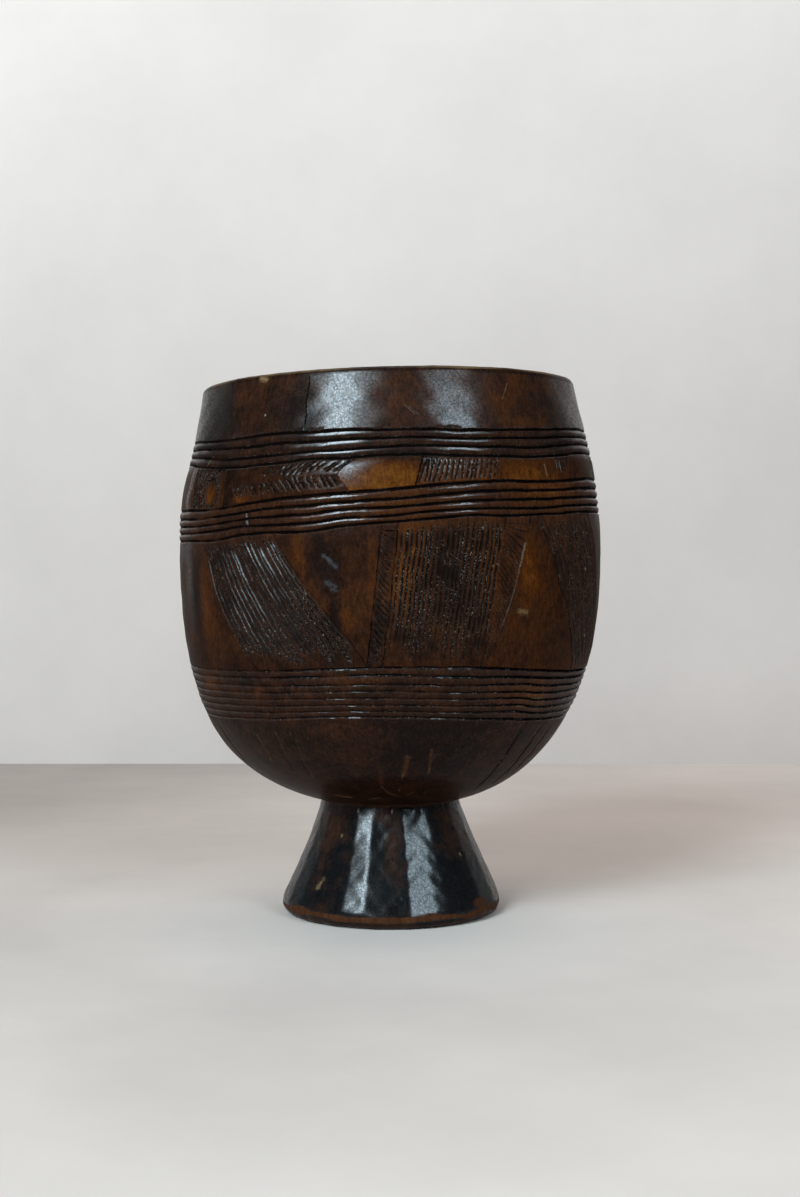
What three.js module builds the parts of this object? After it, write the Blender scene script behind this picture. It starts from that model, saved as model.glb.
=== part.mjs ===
// A carved wooden drinking cup: a deep round bowl on a short conical foot.
// Millimetres, +Z up. The origin is the centre of the foot's resting face, and the cup is carved by eye,
// so its lip stands a little higher on the +X side and its groove bands run a little off level.
import * as THREE from 'three';

// Driving dimensions of the bowl.
const rimHeight = 159.5; // resting face to the top of the lip
const rimRadius = 56; // outside of the lip
const rimRise = 1.4; // how much higher the lip stands at +X than in the middle
const rimRiseFrom = 100; // the bowl is level below this height
const lipWidth = 5;
const lipRound = 1.6; // rounding of both edges of the lip
const bellyRadius = 64; // widest part of the bowl
const bellyHeight = 112;
const bowlWall = 7.5;
const floorThickness = 11; // wood under the hollow, above the neck

// Driving dimensions of the foot.
const neckHeight = 34.4;
const neckRadius = 20.9;
const footRadius = 33;
const footEdgeRound = 3; // rounding of the worn lower edge
const footDraw = 0.75; // how far the side of the cone is drawn in at half its height
const facetCount = 14; // knife facets round the foot
const facetDepth = 0.35;

// Ring grooves cut round the bowl. Height is that of the middle of the band, and rise is how much higher
// the band runs at +X than in the middle.
const grooveDepth = 0.8;
const grooveBands = [
  { height: 69.4, count: 8, pitch: 2.1, rise: -0.5 },
  { height: 121.4, count: 5, pitch: 2.3, rise: 4.2 },
  { height: 138.6, count: 4, pitch: 2.5, rise: 0.4 },
];

// How finely the shapes are cut into flat faces.
const bowlSides = 60;
const sidesPerFacet = 6;
const sideRows = 8;
const cornerSteps = 3;
const plainRows = { underside: 8, panels: 5, frieze: 2, collar: 3, mouth: 4, hollow: 9 };

// The two curves of the outline meet at the belly, where both run straight up. Their middle points are
// given as shares of the way from one end to the other, across and up.
const outline = {
  under: bentLine(neckRadius, neckHeight, bellyRadius, bellyHeight, [0.91, 0.115], [1, 0.62]),
  shoulder: bentLine(bellyRadius, bellyHeight, rimRadius, rimHeight, [0, 0.4], [0.7, 0.69]),
};
const hollowFloor = neckHeight + floorThickness;
const hollowRadius = bellyRadius - bowlWall;
const mouthRadius = rimRadius - lipWidth;
const hollow = {
  under: bentLine(0, hollowFloor, hollowRadius, bellyHeight, [0.85, 0], [1, 0.4]),
  shoulder: bentLine(hollowRadius, bellyHeight, mouthRadius, rimHeight, [0, 0.4], [0.7, 0.69]),
};

function bentLine(radiusA, heightA, radiusB, heightB, shareA, shareB) {
  const along = ([across, up]) => new THREE.Vector2(
    THREE.MathUtils.lerp(radiusA, radiusB, across),
    THREE.MathUtils.lerp(heightA, heightB, up),
  );
  return new THREE.CubicBezierCurve(along([0, 0]), along(shareA), along(shareB), along([1, 1]));
}

// Radius of an outline at a height, found by halving the stretch of the curve that holds it.
function radiusAt(line, height) {
  const curve = height < bellyHeight ? line.under : line.shoulder;
  let low = 0;
  let high = 1;
  for (let step = 0; step < 40; step += 1) {
    const middle = (low + high) / 2;
    if (curve.getPoint(middle).y < height) {
      low = middle;
    } else {
      high = middle;
    }
  }
  return curve.getPoint((low + high) / 2).x;
}

// A row is one ring of points: a height, the rise of the ring towards +X, and its radius as a function of
// the height that a point of it reaches.
function ring(row, sides) {
  return Array.from({ length: sides }, (unused, index) => {
    const angle = (index / sides) * 2 * Math.PI;
    const height = row.height + row.rise * Math.cos(angle);
    const leaning = Math.max(0, height - rimRiseFrom) / (rimHeight - rimRiseFrom);
    const radius = row.radius(height, angle);
    const up = height + rimRise * leaning * Math.cos(angle);
    return new THREE.Vector3(radius * Math.cos(angle), radius * Math.sin(angle), up);
  });
}

// A closed body from rings that run from the axis at the bottom, outwards, and back to the axis. The first
// and last ring are closed with a flat fan of faces to a point on the axis.
function bodyOfRings(rows, sides) {
  const rings = rows.map((row) => ring(row, sides));
  const points = rings.flat();
  const firstCentre = points.length;
  points.push(new THREE.Vector3(0, 0, rows[0].height));
  points.push(new THREE.Vector3(0, 0, rows.at(-1).height));
  const faces = [];
  for (let side = 0; side < sides; side += 1) {
    const next = (side + 1) % sides;
    for (let row = 0; row + 1 < rows.length; row += 1) {
      const here = row * sides;
      const above = here + sides;
      faces.push(here + side, here + next, above + next, here + side, above + next, above + side);
    }
    const last = (rows.length - 1) * sides;
    faces.push(firstCentre, next, side, firstCentre + 1, last + side, last + next);
  }
  const geometry = new THREE.BufferGeometry().setFromPoints(points);
  geometry.setIndex(faces);
  geometry.computeVertexNormals();
  return geometry;
}

const outside = (cut) => (height) => radiusAt(outline, height) - cut;
const inside = (height) => radiusAt(hollow, height);

// The grooves of one band: a row in the bottom of each groove and one on the ridge at each side of it.
function bandRows({ height, count, pitch, rise }) {
  const lowest = height - (count * pitch) / 2;
  return Array.from({ length: 2 * count + 1 }, (unused, index) => ({
    height: lowest + (index * pitch) / 2,
    rise,
    radius: outside(index % 2 === 1 ? grooveDepth : 0),
  }));
}

// Plain rows between two others, spaced evenly, or closer together near the first where crowding is over 1.
function rowsBetween(from, to, count, radius, crowding = 1) {
  return Array.from({ length: count }, (unused, index) => {
    const share = ((index + 1) / (count + 1)) ** crowding;
    return {
      height: THREE.MathUtils.lerp(from.height, to.height, share),
      rise: THREE.MathUtils.lerp(from.rise, to.rise, share),
      radius,
    };
  });
}

function lipRows() {
  const round = Math.min(lipRound, lipWidth / 2);
  const corner = (centre, fromTurn) => Array.from({ length: cornerSteps + 1 }, (unused, index) => {
    const turn = ((fromTurn + index / cornerSteps) * Math.PI) / 2;
    return {
      height: rimHeight - round + round * Math.sin(turn),
      rise: 0,
      radius: () => centre + round * Math.cos(turn),
    };
  });
  const outerEdge = corner(radiusAt(outline, rimHeight - round) - round, 0);
  const innerEdge = corner(radiusAt(hollow, rimHeight - round) + round, 1);
  return [...outerEdge, ...innerEdge];
}

// The outside, from the neck up to the lip: three groove bands with plain stretches below each.
function outsideRows(lip) {
  const neck = { height: neckHeight, rise: 0, radius: () => neckRadius };
  const [lower, middle, upper] = grooveBands.map(bandRows);
  return [
    neck,
    ...rowsBetween(neck, lower[0], plainRows.underside, outside(0), 2),
    ...lower,
    ...rowsBetween(lower.at(-1), middle[0], plainRows.panels, outside(0)),
    ...middle,
    ...rowsBetween(middle.at(-1), upper[0], plainRows.frieze, outside(0)),
    ...upper,
    ...rowsBetween(upper.at(-1), lip, plainRows.collar, outside(0)),
  ];
}

// The hollow, from the lip down to its floor, which ends in a ring close round the axis.
function insideRows(lip) {
  const belly = { height: bellyHeight, rise: 0, radius: inside };
  const floor = Array.from({ length: plainRows.hollow }, (unused, index) => {
    const point = hollow.under.getPoint(1 - (index + 1) / (plainRows.hollow + 1));
    return { height: point.y, rise: 0, radius: () => point.x };
  });
  return [...rowsBetween(lip, belly, plainRows.mouth, inside), belly, ...floor];
}

function makeBowl() {
  const lip = lipRows();
  return bodyOfRings([...outsideRows(lip[0]), ...lip, ...insideRows(lip.at(-1))], bowlSides);
}

function makeFoot() {
  const facet = (angle) => (facetDepth * (1 - Math.cos(facetCount * angle))) / 2;
  const rows = [];
  for (let step = 0; step <= cornerSteps; step += 1) {
    const turn = ((step / cornerSteps) * Math.PI) / 2;
    rows.push({
      height: footEdgeRound * (1 - Math.cos(turn)),
      rise: 0,
      radius: () => footRadius - footEdgeRound * (1 - Math.sin(turn)),
    });
  }
  for (let step = 1; step <= sideRows; step += 1) {
    const share = step / sideRows;
    const straight = THREE.MathUtils.lerp(footRadius, neckRadius, share);
    const drawn = straight - 4 * footDraw * share * (1 - share);
    const fade = Math.sqrt(1 - share);
    rows.push({
      height: THREE.MathUtils.lerp(footEdgeRound, neckHeight, share),
      rise: 0,
      radius: (height, angle) => drawn - fade * facet(angle),
    });
  }
  return bodyOfRings(rows, facetCount * sidesPerFacet);
}

function piece(name, geometry, colour, roughness) {
  const material = new THREE.MeshStandardMaterial({ color: colour, roughness, metalness: 0 });
  const mesh = new THREE.Mesh(geometry, material);
  mesh.name = name;
  return mesh;
}

const group = new THREE.Group();
group.add(piece('bowl', makeBowl(), 0x4a2b18, 0.45));
group.add(piece('foot', makeFoot(), 0x1e1310, 0.25));

export default group;
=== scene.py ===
import math

import bpy
import numpy as np
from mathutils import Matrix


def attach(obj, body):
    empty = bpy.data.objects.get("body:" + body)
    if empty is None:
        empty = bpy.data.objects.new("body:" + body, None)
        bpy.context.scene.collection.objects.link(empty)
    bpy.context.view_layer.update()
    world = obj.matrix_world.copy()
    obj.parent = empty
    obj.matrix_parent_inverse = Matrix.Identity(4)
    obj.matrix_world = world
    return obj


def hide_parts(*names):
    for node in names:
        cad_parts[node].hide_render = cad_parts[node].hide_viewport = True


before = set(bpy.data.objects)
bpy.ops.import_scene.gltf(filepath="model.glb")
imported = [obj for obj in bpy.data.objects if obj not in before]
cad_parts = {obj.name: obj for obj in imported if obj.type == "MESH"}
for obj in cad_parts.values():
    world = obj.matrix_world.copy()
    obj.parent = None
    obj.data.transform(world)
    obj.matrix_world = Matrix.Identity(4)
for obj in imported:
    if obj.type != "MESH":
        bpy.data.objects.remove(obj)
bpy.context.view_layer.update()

# The cup stands on z = 0 with its axis at x = y = 0 and the camera in front of it, on the -y side.
# Angles round the cup are in degrees: 0 faces the camera and they grow to the right. Shapes are worked
# out in millimetres and turned into metres when they go into a mesh.

scene = bpy.context.scene
scene.view_settings.view_transform = "Standard"

# Camera, floor, wall and lamps

studio = {
    "cameraPlace": (0.00326, -0.50936, 0.10303),
    "cameraDrop": 0.88,  # degrees below level
    "lens": 50.0,
    "sensor": 36.0,
    "floorReach": 4,  # to every side
    "wallBehind": 0.387,  # from the cup's axis to the wall
    "wallHigh": 0.475,
    "wallWide": 1.7,  # to each side
    "floorColour": (0.706, 0.606, 0.547),
    "wallColour": (0.853, 0.737, 0.674),
    # shares of the colours where the painted light is darkest and palest
    "floorLightRange": (0.655, 1.16),
    "wallLightRange": (0.77, 1.09),
    "cloudy": 0.35,  # share of the shade that is a soft noise
    # painted light: the wall's shade is painted paler upwards, fading along z, and to the left, fading along
    # x
    "wallRise": (0.12, 0.42),
    "wallSide": (-0.22, 0.05),
    "wallLeft": 0.25,
    "wallLess": 0.10,
    # painted shade: the wall is painted this darker colour far out to both sides
    "wallShadedAside": (0.235, 0.232, 0.228),  # colour of the wall far out to both sides
    "wallAsideFade": (0.216, 0.60),
    # painted light and shadow: the floor's shade changes towards the wall, along y, by more on the right than
    # on the left, along x
    "floorMiddle": 0.70,
    "floorBack": (-0.24, 0.40),
    "floorSide": (-0.16, 0.16),
    "floorRight": 0.40,
    "floorLeftLess": 1.40,
    "floorFront": 0.30,  # how much paler it is in front
    "floorFrontFade": (-0.30, -0.12),
    # the deep shadow close to the foot is lightened and the soft one in front of it darkened: place along y,
    # squared distances from there over which that fades, and how much paler
    "floorSpots": ((0.0, (0.0016, 0.0120), 0.50), (-0.15, (0.0, 0.0080), -0.24)),
    # the sky: pale near the horizon and dim above it, fading along z of its direction. It is less pale on the
    # camera's side, fading along y.
    "skyPale": (0.42, 0.41, 0.40),
    "skyFront": (0.17, 0.17, 0.17),
    "skyDim": (0.075, 0.075, 0.078),
    "skyFade": (0.04, 0.26),
    "skyFadeBack": (-0.5, 0.4),
    "lampCentre": 0.08,  # height that the lamps face and are measured from
    "lamps": {
        # name: degrees round from the camera, degrees up, distance, width, height, watts, colour
        "left_window": (-29, 30, 1.35, 0.44, 0.46, 14.0, (0.70, 0.89, 1.0)),
        "left_glow": (-29, 30, 1.38, 0.80, 0.62, 5.4, (0.78, 0.92, 1.0)),
        "right_window": (38, 28, 1.35, 0.42, 0.40, 5.9, (0.68, 0.88, 1.0)),
        "ceiling": (180, 80, 1.60, 1.60, 1.20, 10.0, (1.0, 0.96, 0.92)),
    },
}


class Wire:
    # Wraps an output socket of a node. Sums and products written with it add Math nodes.
    def __init__(self, tree, socket=None):
        self.tree = tree
        self.socket = socket

    # Adds a node of the given type, applies its settings, then fills its sockets by name or number
    # with numbers, colours or wires, and returns the wire of one of its outputs.
    def add(self, kind, sockets=None, output=0, **settings):
        node = self.tree.nodes.new(kind)
        for name, value in settings.items():
            setattr(node, name, value)
        for name, value in (sockets or {}).items():
            socket = node.inputs[name]
            if isinstance(value, Wire):
                self.tree.links.new(value.socket, socket)
            elif isinstance(value, tuple) and socket.type == "RGBA":
                socket.default_value = (*value, 1.0)
            else:
                socket.default_value = value
        return Wire(self.tree, node.outputs[output]) if node.outputs else None

    def math(self, operation, first, second=0.0):
        return self.add("ShaderNodeMath", {0: first, 1: second}, operation=operation)

    def __add__(self, other):
        return self.math("ADD", self, other)

    def __radd__(self, other):
        return self.math("ADD", other, self)

    def __sub__(self, other):
        return self.math("SUBTRACT", self, other)

    def __rsub__(self, other):
        return self.math("SUBTRACT", other, self)

    def __mul__(self, other):
        return self.math("MULTIPLY", self, other)

    def __rmul__(self, other):
        return self.math("MULTIPLY", other, self)

    # 0 at low, 1 at high, straight in between
    def between(self, low, high):
        return self.add("ShaderNodeMapRange", {0: self, 1: low, 2: high, 3: 0.0, 4: 1.0})

    # the first colour where this wire is 0 and the second where it is 1
    def blend(self, first, second):
        return self.add("ShaderNodeMix", {0: self, 6: first, 7: second}, 2, data_type="RGBA")

    # this colour times another
    def tinted(self, other):
        return self.add("ShaderNodeMix", {0: 1.0, 6: self, 7: other}, 2, data_type="RGBA",
                        blend_type="MULTIPLY")


def newFinish(name):
    finish = bpy.data.materials.new(name)
    finish.use_nodes = True
    finish.node_tree.nodes.clear()
    return finish, Wire(finish.node_tree)


# Painted light on the wall: paler upwards and a little to the left
def wallPaintedLight(x, z):
    left = 1 - x.between(*studio["wallSide"])
    return z.between(*studio["wallRise"]) + studio["wallLeft"] * left - studio["wallLess"]


# Painted light and shadow on the floor: towards the wall a little darker on the left and paler on the right,
# and paler in front
def floorPaintedLight(x, y):
    side = studio["floorRight"] - studio["floorLeftLess"] * (1 - x.between(*studio["floorSide"]))
    shade = studio["floorMiddle"] + y.between(*studio["floorBack"]) * side
    shade = shade + studio["floorFront"] * (1 - y.between(*studio["floorFrontFade"]))
    for place, fade, amount in studio["floorSpots"]:
        away = y - place
        shade = shade + amount * (1 - (x * x + away * away).between(*fade))
    return shade


def makeStage():
    # two big plates: the wall straight behind the cup and the floor under everything
    back, high, wide = studio["wallBehind"], studio["wallHigh"], studio["wallWide"]
    far = studio["floorReach"]
    plates = {
        "studio_floor": ([(-far, -far, 0), (far, -far, 0), (far, far, 0), (-far, far, 0)],
                         studio["floorColour"], studio["floorLightRange"]),
        "studio_wall": ([(-wide, back, 0), (wide, back, 0), (wide, back, high), (-wide, back, high)],
                        studio["wallColour"], studio["wallLightRange"]),
    }
    cloudy = studio["cloudy"]
    for name, (corners, colour, shades) in plates.items():
        mesh = bpy.data.meshes.new(name)
        mesh.from_pydata(corners, [], [(0, 1, 2, 3)])
        plate = bpy.data.objects.new(name, mesh)
        scene.collection.objects.link(plate)
        finish, wire = newFinish(name)
        place = wire.add("ShaderNodeTexCoord", output="Object")
        noise = wire.add("ShaderNodeTexNoise",
                         {"Vector": place, "Scale": 6.0, "Detail": 7.0, "Roughness": 0.62})
        darker, paler = (tuple(min(1.0, part * share) for part in colour) for share in shades)
        x, y, z = (wire.add("ShaderNodeSeparateXYZ", {0: place}, axis) for axis in range(3))
        # painted light: the plate's colour leans between its darker and paler shares, by a soft noise and the
        # painted light
        lean = wallPaintedLight(x, z) if name == "studio_wall" else floorPaintedLight(x, y)
        shade = (cloudy * noise.between(0.3, 0.7) + (1 - cloudy) * lean).blend(darker, paler)
        if name == "studio_wall":
            # painted shade: the backdrop's pale middle falls off to a darker colour on both sides, out of the
            # picture
            shadedAside = x.math("ABSOLUTE", x).between(*studio["wallAsideFade"])
            shade = shadedAside.blend(shade, studio["wallShadedAside"])
        shader = wire.add("ShaderNodeBsdfDiffuse", {"Color": shade})
        wire.add("ShaderNodeOutputMaterial", {"Surface": shader})
        mesh.materials.append(finish)


# A point round the cup: turn degrees from the camera's side to the right, rise degrees above level
def onSphere(turn, rise, distance):
    turn, rise = math.radians(turn), math.radians(rise)
    return (distance * math.sin(turn) * math.cos(rise), -distance * math.cos(turn) * math.cos(rise),
            studio["lampCentre"] + distance * math.sin(rise))


def makeLamps():
    for name, (turn, rise, distance, width, height, watts, colour) in studio["lamps"].items():
        light = bpy.data.lights.new(name, "AREA")
        light.shape = "RECTANGLE"
        light.size, light.size_y = width, height
        light.energy, light.color = watts, colour
        lamp = bpy.data.objects.new(name, light)
        lamp.location = onSphere(turn, rise, distance)
        lamp.rotation_euler = (math.radians(90 - rise), 0, math.radians(turn))
        scene.collection.objects.link(lamp)
    world = bpy.data.worlds.new("studio_sky")
    world.use_nodes = True
    world.node_tree.nodes.clear()
    wire = Wire(world.node_tree)
    along = wire.add("ShaderNodeTexCoord", output="Generated")
    up = wire.add("ShaderNodeSeparateXYZ", {0: along}, 2).between(*studio["skyFade"])
    back = wire.add("ShaderNodeSeparateXYZ", {0: along}, 1).between(*studio["skyFadeBack"])
    shade = up.blend(back.blend(studio["skyFront"], studio["skyPale"]), studio["skyDim"])
    wire.add("ShaderNodeOutputWorld", {0: wire.add("ShaderNodeBackground", {0: shade, 1: 1.0})})
    scene.world = world


def makeCamera():
    lens = bpy.data.cameras.new("front_camera")
    lens.lens = studio["lens"]
    lens.sensor_width = studio["sensor"]
    camera = bpy.data.objects.new("front_camera", lens)
    camera.location = studio["cameraPlace"]
    camera.rotation_euler = (math.radians(90 - studio["cameraDrop"]), 0, 0)
    scene.collection.objects.link(camera)
    scene.camera = camera


print("camera, stage and lamps")
makeCamera()
makeStage()
makeLamps()

# Bowl

bowl = {
    "seed": 11,
    # outline in millimetres: two bent lines, each from its start over two middle points to its end
    "under": ((20.9, 34.4), (60.2, 43.4), (64.0, 83.0), (64.0, 112.3)),
    "shoulder": ((64.0, 112.3), (64.0, 131.2), (58.4, 144.8), (56.0, 159.5)),
    "hollowUnder": ((0.4, 45.4), (48.2, 45.4), (56.5, 72.0), (56.5, 112.0)),
    "hollowShoulder": ((56.5, 112.0), (56.5, 131.0), (52.7, 144.8), (51.0, 158.0)),
    "outlineSteps": 700,
    "rimHeight": 159.5,
    "mouthRadius": 51.0,
    "lipRound": 1.6,
    "lipCrown": 0.05,  # how much higher the lip's top is than its two edges
    "rimLift": 1.44,  # how much higher the lip stands on the right
    "liftFrom": 100.0,
    # how far the middle of the cup wanders sideways: heights and sideways steps
    "wander": ((0, 10, 22, 34, 40, 49, 64, 83, 94, 110, 128, 137, 150, 160),
               (0.4, 0.75, 0.67, 0.25, -0.4, -0.95, -0.5, 0.1, 0.38, 0.25, 0.2, 0.4, -0.1, -0.3)),
    "swell": 0.20,  # depth of the broad whittled unevenness
    "whittle": 0.045,  # depth of the small one
    "adze": 0.10,  # depth of the tool marks in the hollow
    "front": 96.0,  # degrees to each side that are cut finely
    "fine": 0.84,  # degrees between the columns of the bands in front
    "coarse": 1.62,  # and behind
    "hollowColumns": 216,
    "underside": (34.7, 59.8),  # heights of its lower end and, about, of its upper one
    "undersideRows": 24,
    # cuts under the bowl: angle, lowest and highest point, width, depth
    "lowerCuts": (
        (-66, 47, 58, 0.8, 0.3), (-44.4, 48, 57, 0.6, 0.1), (-35.6, 45, 58, 0.6, 0.12),
        (-29.3, 44, 58, 0.6, 0.1), (-12, 43, 50, 0.5, 0.05), (-2, 40, 47, 0.7, 0.1),
        (6.6, 42, 54, 0.9, 0.16), (15.4, 39, 54, 0.7, 0.18), (30, 44, 52, 0.6, 0.06),
        (45, 40, 58, 1.1, 0.56), (55, 41, 59, 1.1, 0.54), (61.8, 44, 58, 1, 0.5), (84, 44, 56, 0.8, 0.3),
        (92, 42, 58, 0.8, 0.38), (101, 44, 57, 0.8, 0.34), (136, 40, 54, 0.7, 0.22),
        (145, 42, 56, 0.7, 0.26), (171, 42, 57, 0.8, 0.36), (180, 44, 58, 0.8, 0.32),
        (214, 40, 55, 0.7, 0.24), (222, 43, 56, 0.7, 0.22), (252, 44, 58, 0.8, 0.32),
        (260, 42, 56, 0.8, 0.3),
    ),
    # the chewed edge above the neck, from the flat bottom outwards: radius, height, how ragged, how worn
    "neck": ((20.0, 34.4, 0.0, 0.1), (20.9, 34.42, 0.3, 0.60), (21.5, 34.5, 0.9, 0.85),
             (21.9, 34.66, 0.5, 0.5)),
    "neckColumns": 300,
    "crack": ((142, -22.9), (147, -22.4), (151, -22.7), (155, -22.2), (160, -22.4)),
    # Places are given as angle, height, half width in degrees, half height, and amount. Most of them serve
    # the back of the cup too, at the second of these turns.
    "turns": (0, 165),
    # a soft swelling, on one side alone
    "bulge": ((-66, 125, 4.0, 4.5, 0.6),),
    # where the dark polish is rubbed thinner than around it, or where it is thicker
    "rubbed": (
        (-22.6, 109, 1.6, 6, 0.45), (-20, 98.5, 1.8, 4, 0.35), (-17.5, 95, 1.5, 3, 0.2),
        (-17.5, 109.5, 3, 4, -0.25), (-14.5, 103, 2.6, 6, -0.35), (-8.2, 98.5, 3, 3.5, 0.1),
        (-10.5, 90.5, 1.8, 5, 0.35), (-7, 88, 1.8, 9, 0.1), (-13.5, 91.5, 1.6, 4, -0.4),
        (-3.6, 107, 1, 7, 0.5), (-4.3, 97, 1, 6, 0.2), (36.5, 108, 2.6, 8, 0.3), (38, 100, 4, 7, 0.3),
        (46, 99, 2.5, 5, 0.2), (47, 106, 1.5, 6, -0.2), (40, 86, 8, 5, 0.08), (50, 84, 5, 6, -0.1),
        (5, 108, 4, 10, 0.4), (3, 97, 3, 8, 0.35), (13, 110, 4, 6, -0.25), (14, 100, 5, 6, -0.25),
        (8, 84, 6, 5, -0.2), (14, 82, 4, 6, 0.15), (27, 100, 2, 14, 0.3), (-1, 97, 1.2, 3, 0.25),
        (-56, 97, 3, 9, 0.5), (-54, 88, 4, 6, 0.3), (-62, 96, 3, 9, -0.4), (2, 129.5, 6, 2.5, 0.2),
        (-9, 132, 3, 2, -0.5), (3, 134, 8, 1.5, -0.5), (38, 131, 5, 2.5, 0.25), (-54.2, 125, 1.8, 2.6, 0.6),
        (-41, 123.5, 3, 1.5, 0.45), (-60, 71.5, 5, 3, 0.5), (-37, 70, 2, 1.5, 0.4), (46, 69, 9, 5, 0.6),
        (-8, 74, 9, 1.2, 0.3), (32, 70, 6, 3, 0.25), (-42, 73, 4, 3, -0.3), (-16, 60, 8, 4, 0.22),
        (-8, 50, 8, 5, 0.12), (12, 54, 10, 7, -0.3), (39, 155, 3, 4, 0.35), (52, 155, 4, 2.5, 0.45),
        (-46, 153, 4, 3, 0.35), (34, 150, 3, 3, 0.25), (40, 144, 8, 1.5, 0.3), (-24, 148, 5, 6, -0.3),
        (-60, 148, 10, 9, -0.6), (2, 148, 9, 8, 0.14), (28, 149, 14, 7, 0.14), (5, 122, 16, 4, 0.2),
        (46, 125, 14, 4, 0.5), (-40, 117, 10, 3, -0.2),
    ),
    # where the polish is glossier or duller than around it
    "glossy": (
        (-9.5, 132.6, 4.5, 2.4, 1), (15, 132.4, 6, 1.4, 0.35), (-1, 116.8, 5.5, 1, 0.7),
        (-24, 130.5, 4, 1.5, 0.3), (-66, 104, 3, 14, 0.6), (-56, 98, 4, 10, 0.2), (-17, 104, 5, 5, 0.12),
        (19, 156, 9, 4.5, -0.6), (32, 150, 8, 9, 0.15), (-2, 150, 5, 9, 0.2), (-27, 150, 3, 6, -0.2),
    ),
}


# Points of a bent line: the cubic curve over its four points, as two arrays, across and up
def bent(points, steps):
    share = np.linspace(0, 1, steps)[:, None]
    a, b, c, d = (np.array(point, float) for point in points)
    rest = 1 - share
    curve = a * rest**3 + 3 * b * rest**2 * share + 3 * c * rest * share**2 + d * share**3
    return curve[:, 0], curve[:, 1]


outlineLines = [bent(bowl[line], bowl["outlineSteps"]) for line in ("under", "shoulder")]
outlineAcross, outlineUp = (np.concatenate([first, second[1:]]) for first, second in zip(*outlineLines))
outlineLength = np.concatenate([[0], np.cumsum(np.hypot(np.diff(outlineAcross), np.diff(outlineUp)))])
outlineTurn = np.gradient(outlineAcross, outlineLength), np.gradient(outlineUp, outlineLength)


# A line through given knots, straight between them, averaged over a stretch so that it bends softly
def softLine(at, places, values, reach, period=360):
    steps = np.linspace(-reach, reach, 7)
    return sum(np.interp(at + step, places, values, period=period) for step in steps) / len(steps)


# A wavy line that closes round the cup: a sum of cosines with whole numbers of waves and random phases
def waver(angle, rng, fewest, most, count=6):
    waves = rng.integers(fewest, most + 1, count)
    phases = rng.uniform(0, 2 * np.pi, count)
    turn = np.radians(angle)
    return sum(np.cos(wave * turn + phase) for wave, phase in zip(waves, phases)) / count**0.5


# Unevenness over the whole outside: a sum of slanting waves, whole numbers of them round the cup
class Uneven:
    def __init__(self, rng, fewest, most, lengths, count):
        self.round = rng.integers(fewest, most + 1, count) * rng.choice([-1, 1], count)
        self.up = 2 * np.pi / rng.uniform(*lengths, count)
        self.phase = rng.uniform(0, 2 * np.pi, count)

    def at(self, angle, height):
        turn = np.radians(angle)
        return sum(np.cos(around * turn + up * height + phase) for around, up, phase
                   in zip(self.round, self.up, self.phase)) / len(self.round)**0.5


shapeRng = np.random.default_rng(bowl["seed"])
broad = Uneven(shapeRng, 3, 14, (28, 90), 12)
small = Uneven(shapeRng, 16, 46, (7, 18), 16)


# A soft hill: 1 in the middle, 0 a few widths away
def hill(angle, height, atAngle, atHeight, wide, tall):
    away = (angle - atAngle + 180) % 360 - 180
    return np.exp(-(away / wide)**2 - ((height - atHeight) / tall)**2)


# Sum of soft hills at listed places, each of which comes again at every turn round the cup
def placesAt(places, angle, height, turns=(0,)):
    return sum(amount * hill(angle, height, atAngle + turn, atHeight, wide, tall)
               for atAngle, atHeight, wide, tall, amount in places for turn in turns)


# Place of outside points: the outline turned round the axis, pushed out square to it, with the middle
# wandering sideways and the lip lifted to the right. Angle and height may be whole grids.
def onOutside(angle, height, out):
    angle, height, out = np.broadcast_arrays(angle, height, out)
    radius, steepAcross, steepUp = (np.interp(height, outlineUp, line)
                                    for line in (outlineAcross, *outlineTurn))
    calm = np.clip((height - 40) / 12, 0, 1)
    rough = calm * (bowl["swell"] * broad.at(angle, height) + bowl["whittle"] * small.at(angle, height))
    push = out + (rough + placesAt(bowl["bulge"], angle, height))
    return turned(angle, height - push * steepAcross, radius + push * steepUp)


def turned(angle, height, radius):
    turn = np.radians(angle)
    sideways = softLine(height, *bowl["wander"], 3.0, None)
    lift = bowl["rimLift"] * np.clip((height - bowl["liftFrom"]) / 60, 0, 1.1) * np.sin(turn)
    return np.stack([sideways + radius * np.sin(turn), -radius * np.cos(turn), height + lift], -1)


# The finish values of each point: cut is 1 in the bottom of a cut and sets the painted shade there, bare is
# how far the dark polish is gone, worn is rubbed wood, shine is how glossy it is.
markNames = ("cut", "bare", "worn", "shine")


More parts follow.
